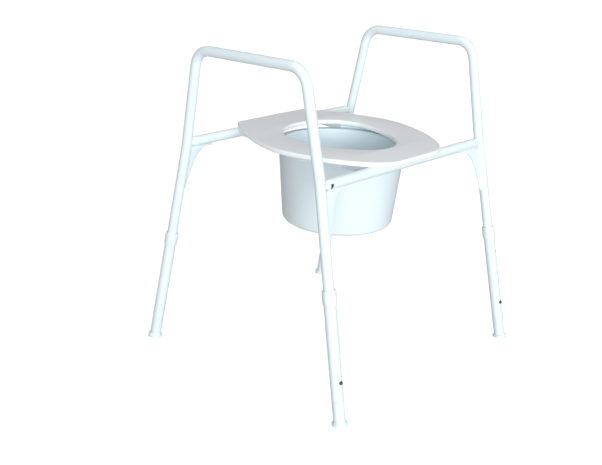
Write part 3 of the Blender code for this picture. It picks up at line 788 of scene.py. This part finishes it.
def make_clip(label, side, place):
    """Knuckle at a rear corner of the seat, and the two screws in its flange."""
    inner = TUBE_RADIUS + GAP
    start, span, steps = -pi / 2 + radians(50), 2 * pi - 2 * radians(50), 48
    rear_lip = [
        (0.0156, CLIP_TOP),
        (0.0156, -0.0040),
        (0.0151, -0.0070),
        (0.0141, -0.0091),
        (0.0125, -0.0103),
        (0.0108, -0.0105),
        (0.0099, -0.0097),
    ]
    front_lip = [(-y, z) for y, z in reversed(rear_lip[1:])]
    turns = [start + i / steps * span for i in range(steps + 1)]
    bore = [(inner * cos(t), inner * sin(t)) for t in turns]
    profile = [(-0.0350, CLIP_TOP), *rear_lip, *bore, *front_lip]
    profile += [(-0.0156, CLIP_TOP - CLIP_FLANGE), (-0.0350, CLIP_TOP - CLIP_FLANGE)]
    mesh = outline_mesh([knots(profile)], CLIP_WIDTH, 0.0004, 1, 2)
    upright = Matrix(((0, 0, 1), (1, 0, 0), (0, 1, 0))).to_4x4()
    middle = place @ Matrix.Translation((side * CLIP_MIDDLE, 0, 0))
    clip = put(f"hinge_knuckle_{label}", mesh, seat_plastic, middle @ upright)
    finished(clip, "seat", "seat_plastic", f"seat_clip_{label}")
    head_top = CLIP_TOP - CLIP_FLANGE - GAP
    for i, dx in enumerate((-0.009, 0.009)):
        profile = [
            (0, 0.0135),
            (0.0016, 0.0135),
            (0.0016, head_top),
            (0.0034, head_top),
            (0.0034, head_top - 0.0006),
            (0.0029, head_top - 0.0017),
            (0.0016, head_top - 0.0022),
            (0, head_top - 0.0022),
        ]
        at = place @ Matrix.Translation((side * (CLIP_MIDDLE + dx), -0.0265, 0))
        screw = put(f"knuckle_screw_{label}_{i + 1}", lathe(eased(profile, 0.0003, 2), 32), steel, at)
        low, high = head_top - 0.0030, head_top - 0.0009
        bars = [
            block((-0.0017, -0.0004, low), (0.0017, 0.0004, high)),
            block((-0.0004, -0.0017, low), (0.0004, 0.0017, high)),
        ]
        combined(screw, [(bar, at) for bar in bars])
        finished(screw, "seat", "steel", f"clip_screw_{label}_{i + 1}")


# ---- pan ----------------------------------------------------------------------------------------


def make_pan(place):
    """Round pan with a rolled lip, a foot ring and a smooth coved floor."""
    slope = (PAN_RIM_RADIUS - PAN_BASE_RADIUS) / PAN_DEPTH
    base, wall = PAN_BASE_RADIUS, PAN_WALL
    inner_top = PAN_RIM_RADIUS - wall
    floor = -PAN_DEPTH + wall
    profile = [
        (inner_top + 0.0016, -0.0002),
        (inner_top + 0.0030, 0),
        (PAN_LIP_RADIUS - 0.0012, 0),
        (PAN_LIP_RADIUS - 0.0003, -0.0004),
        (PAN_LIP_RADIUS, -0.0012),
        (PAN_LIP_RADIUS, -PAN_LIP_THICKNESS + 0.0004),
        (PAN_LIP_RADIUS - 0.0004, -PAN_LIP_THICKNESS),
        (PAN_RIM_RADIUS + 0.0022, -PAN_LIP_THICKNESS),
        (PAN_RIM_RADIUS + 0.0006, -PAN_LIP_THICKNESS - 0.0006),
        (PAN_RIM_RADIUS - 0.0001, -PAN_LIP_THICKNESS - 0.0020),
    ]
    cove = 0.010
    for i in range(9):
        turn = i / 8 * radians(85)
        r = base + slope * cove - cove * (1 - cos(turn))
        profile.append((r, -PAN_DEPTH + cove - cove * sin(turn) / sin(radians(85))))
    profile += [
        (base - 0.0130, -PAN_DEPTH),
        (base - 0.0145, -PAN_DEPTH + 0.0012),
        (0.006, -PAN_DEPTH + 0.0012),
        (0.0045, -PAN_DEPTH + 0.0006),
        (0, -PAN_DEPTH + 0.0006),
        (0, floor + 0.0006),
        (base - 0.0200, floor + 0.0006),
    ]
    for i in range(9):
        turn = (1 - i / 8) * radians(85)
        r = base - wall + slope * cove - cove * (1 - cos(turn))
        profile.append((r, floor + 0.0006 + cove - cove * sin(turn) / sin(radians(85))))
    profile += [
        (inner_top - 0.0003, -0.0040),
        (inner_top + 0.0002, -0.0018),
        (inner_top + 0.0008, -0.0008),
        (inner_top + 0.0016, -0.0002),
    ]
    pan = put("lift_out_pan", lathe(profile, 160), pan_plastic, place, angle=50)
    finished(pan, "pan", "white_plastic", "pan_wall", "pan_base", "pan_lip")


def strip_outline(inner, outer, arm_inner, arm_outer, side):
    rear = -PAN_FROM_HINGE - 0.004
    front = front_rail_y() - PAN_FROM_HINGE + 0.004
    outline = []
    for radius, arm, order in ((inner, arm_inner, 1), (outer, arm_outer, -1)):
        turn = acos(arm / radius)
        angles = [turn - i / 48 * 2 * turn for i in range(49)]
        bend = [(radius * cos(t), radius * sin(t)) for t in angles]
        outline += [(arm, rear), *bend, (arm, front)][::order]
    return [(side * x, y) for x, y in outline]


def make_holder(label, side):
    """Flat bar bent round one side of the pan, with the ledge that carries the lip."""
    web = strip_outline(
        HOLDER_RADIUS, HOLDER_RADIUS + HOLDER_WALL, HOLDER_ARM_X, HOLDER_ARM_X + HOLDER_WALL, side
    )
    turn = acos((HOLDER_ARM_X + 0.004) / HOLDER_RADIUS)
    angles = [turn - i / 48 * 2 * turn for i in range(49)]
    outer = HOLDER_RADIUS + HOLDER_WALL / 2
    ledge = [(side * HOLDER_LEDGE_RADIUS * cos(t), HOLDER_LEDGE_RADIUS * sin(t)) for t in angles]
    ledge += [(side * outer * cos(t), outer * sin(t)) for t in reversed(angles)]
    top = PAN_RIM_HEIGHT - PAN_LIP_THICKNESS - GAP
    place = seat_matrix() @ Matrix.Translation((0, PAN_FROM_HINGE, 0))
    height = HOLDER_HIGH - HOLDER_LOW
    middle = Matrix.Translation((0, 0, (HOLDER_LOW + HOLDER_HIGH) / 2))
    web_mesh = outline_mesh([knots(web)], height, 0.0004, 1, 2)
    bar = put(f"pan_support_{label}", web_mesh, paint, place @ middle)
    shelf = outline_mesh([knots(ledge)], HOLDER_LEDGE, 0.0004, 1, 2)
    combined(bar, [(shelf, place @ Matrix.Translation((0, 0, top - HOLDER_LEDGE / 2)))], "UNION")
    rails = []
    for end in ENDS.values():
        rail = [rail_point(end) + Vector((x, 0, 0)) for x in (-0.30, 0, 0.30)]
        rails.append((swept(rail, TUBE_RADIUS + 0.0001), None))
    combined(bar, rails)
    finished(bar, "frame", "frame_paint", f"pan_holder_{label}")
    for end_label, end in ENDS.items():
        y = 0 if end > 0 else front_rail_y()
        x = side * (HOLDER_ARM_X + HOLDER_WALL / 2)
        for face_label, face in (("a", 1), ("b", -1)):
            run = []
            for i in range(7):
                z = HOLDER_LOW + 0.0015 + i / 6 * (HOLDER_HIGH - HOLDER_LOW - 0.003)
                reach = sqrt(max(TUBE_RADIUS**2 - z**2, 0)) + 0.0001
                across = x + face * (HOLDER_WALL / 2 + 0.0002)
                run.append(seat_matrix() @ Vector((across, y - end * reach, z)))
            weld_bead(f"weld_support_{end_label}_{label}_{face_label}", run, SUPPORT_WELD_RADIUS)


# ---- stage --------------------------------------------------------------------------------------


def plain_material(name, color, roughness=0.8, glow=0.0):
    made = bpy.data.materials.new(name)
    made.use_nodes = True
    shader = made.node_tree.nodes["Principled BSDF"]
    shader.inputs["Base Color"].default_value = (*color, 1)
    shader.inputs["Roughness"].default_value = roughness
    shader.inputs["Specular IOR Level"].default_value = 0.1
    shader.inputs["Emission Color"].default_value = (1, 1, 1, 1)
    shader.inputs["Emission Strength"].default_value = glow
    return made


def stage_plane(name, size, finish, matrix):
    mesh = bpy.data.meshes.new(name)
    half = size / 2
    corners = [(-half, -half, 0), (half, -half, 0), (half, half, 0), (-half, half, 0)]
    mesh.from_pydata(corners, [], [(0, 1, 2, 3)])
    obj = bpy.data.objects.new(name, mesh)
    bpy.context.scene.collection.objects.link(obj)
    mesh.materials.append(finish)
    obj.matrix_world = matrix
    return obj


def aimed(place, target):
    turn = (Vector(target) - Vector(place)).to_track_quat("-Z", "Y")
    return Matrix.Translation(place) @ turn.to_matrix().to_4x4()


def area_light(name, place, target, size, power, color):
    data = bpy.data.lights.new(name, "AREA")
    data.shape = "RECTANGLE"
    data.size, data.size_y = size
    data.energy = power
    data.color = color
    obj = bpy.data.objects.new(name, data)
    bpy.context.scene.collection.objects.link(obj)
    obj.matrix_world = aimed(place, target)
    obj.visible_camera = False
    return obj


def make_camera():
    data = bpy.data.cameras.new("camera")
    data.sensor_fit = "HORIZONTAL"
    data.sensor_width = 36.0
    data.lens = CAMERA_LENS
    obj = bpy.data.objects.new("camera", data)
    bpy.context.scene.collection.objects.link(obj)
    right = Vector(CAMERA_RIGHT).normalized()
    forward = Vector(CAMERA_FORWARD).normalized()
    up = right.cross(forward).normalized()
    axes = Matrix((right, up, -forward)).transposed().to_4x4()
    obj.matrix_world = Matrix.Translation(CAMERA_PLACE) @ axes
    data.clip_start, data.clip_end = 0.05, 100
    bpy.context.scene.camera = obj


def floor_material():
    """White floor whose own glow grows away from the object, so that it stays evenly white."""
    made = plain_material("floor", (0.93, 0.935, 0.94), 0.9)
    nodes, links = made.node_tree.nodes, made.node_tree.links
    place = nodes.new("ShaderNodeTexCoord")
    reach = nodes.new("ShaderNodeVectorMath")
    reach.operation = "LENGTH"
    links.new(place.outputs["Object"], reach.inputs[0])
    glow = nodes.new("ShaderNodeMapRange")
    glow.inputs["From Min"].default_value = 0.6
    glow.inputs["From Max"].default_value = 4.0
    glow.inputs["To Min"].default_value = FLOOR_GLOW[0]
    glow.inputs["To Max"].default_value = FLOOR_GLOW[1]
    links.new(reach.outputs["Value"], glow.inputs["Value"])
    links.new(glow.outputs["Result"], nodes["Principled BSDF"].inputs["Emission Strength"])
    return made


def make_backdrop():
    """White surround that only the camera sees, so that no horizon shows."""
    mesh = lathe([(29.5, -0.01), (29.5, 12.0), (20.0, 22.0), (0, 26.0)], 48)
    obj = bpy.data.objects.new("backdrop", mesh)
    bpy.context.scene.collection.objects.link(obj)
    mesh.materials.append(plain_material("backdrop", (0, 0, 0), 1.0, 1.0))
    obj.visible_diffuse = False
    obj.visible_glossy = False
    obj.visible_shadow = False


def make_stage():
    make_backdrop()
    floor = stage_plane("floor", FLOOR_SIZE, floor_material(), Matrix())
    floor.visible_diffuse = False
    floor.visible_glossy = False
    world = bpy.data.worlds.new("studio")
    bpy.context.scene.world = world
    world.use_nodes = True
    back = world.node_tree.nodes["Background"]
    back.inputs["Color"].default_value = (*WORLD_COLOR, 1)
    back.inputs["Strength"].default_value = WORLD_STRENGTH
    area_light("key", KEY_PLACE, KEY_TARGET, KEY_SIZE, KEY_POWER, KEY_COLOR)
    area_light("top", TOP_PLACE, TOP_TARGET, TOP_SIZE, TOP_POWER, (1, 1, 1))
    bpy.context.scene.view_settings.view_transform = "Standard"


# ---- build --------------------------------------------------------------------------------------

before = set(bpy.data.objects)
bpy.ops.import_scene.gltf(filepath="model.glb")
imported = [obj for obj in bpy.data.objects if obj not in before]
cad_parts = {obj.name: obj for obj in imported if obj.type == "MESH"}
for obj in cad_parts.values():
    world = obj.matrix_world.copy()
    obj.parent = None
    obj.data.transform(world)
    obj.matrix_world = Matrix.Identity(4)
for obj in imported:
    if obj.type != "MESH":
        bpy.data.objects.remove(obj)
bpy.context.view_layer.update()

paint = tinted(
    "powder_coat", (0.83, 0.93, 0.97), (0.81, 0.915, 0.96),
    (0.27, 0.36), 650, 0.00004, 9, coat=0.25
)
white_plastic = tinted(
    "collar_plastic", (0.84, 0.92, 0.94), (0.80, 0.89, 0.92),
    (0.38, 0.50), 1400, 0.00003, 40
)
foot_plastic = tinted(
    "foot_plastic", (0.80, 0.91, 0.94), (0.76, 0.88, 0.92),
    (0.45, 0.60), 1100, 0.00005, 40
)
pan_plastic = tinted(
    "pan_plastic", (0.82, 0.925, 0.965), (0.80, 0.91, 0.955),
    (0.30, 0.40), 500, 0.00002, 5
)
seat_plastic = seat_finish_with_painted_side_light()
dark_plastic = tinted(
    "button_plastic", (0.05, 0.05, 0.055), (0.03, 0.03, 0.035),
    (0.25, 0.40), 1500, 0.00003, 90
)
steel = brushed_steel()

make_camera()
for end_label, end in ENDS.items():
    make_cross_tube(end_label, end)
for side_label, side in SIDES.items():
    make_side_frame(side_label, side)
    make_holder(side_label, side)
    for end_label, end in ENDS.items():
        make_cap(side_label, side, end_label, end)
        make_gusset(side_label, side, end_label, end)
        leg_name = f"{end_label}_{side_label}"
        leg_place = leg_matrix(side, end)
        make_sleeve(leg_name, leg_place)
        make_collar(leg_name, leg_place)
        make_foot(leg_name, leg_place)
        make_button(leg_name, leg_place)
        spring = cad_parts[f"button_spring_{leg_name}"]
        spring.data.materials.clear()
        spring.data.materials.append(steel)
make_seat(seat_matrix())
for side_label, side in SIDES.items():
    make_clip(side_label, side, seat_matrix())
make_pan(seat_matrix() @ Matrix.Translation((0, PAN_FROM_HINGE, PAN_RIM_HEIGHT)))

make_stage()
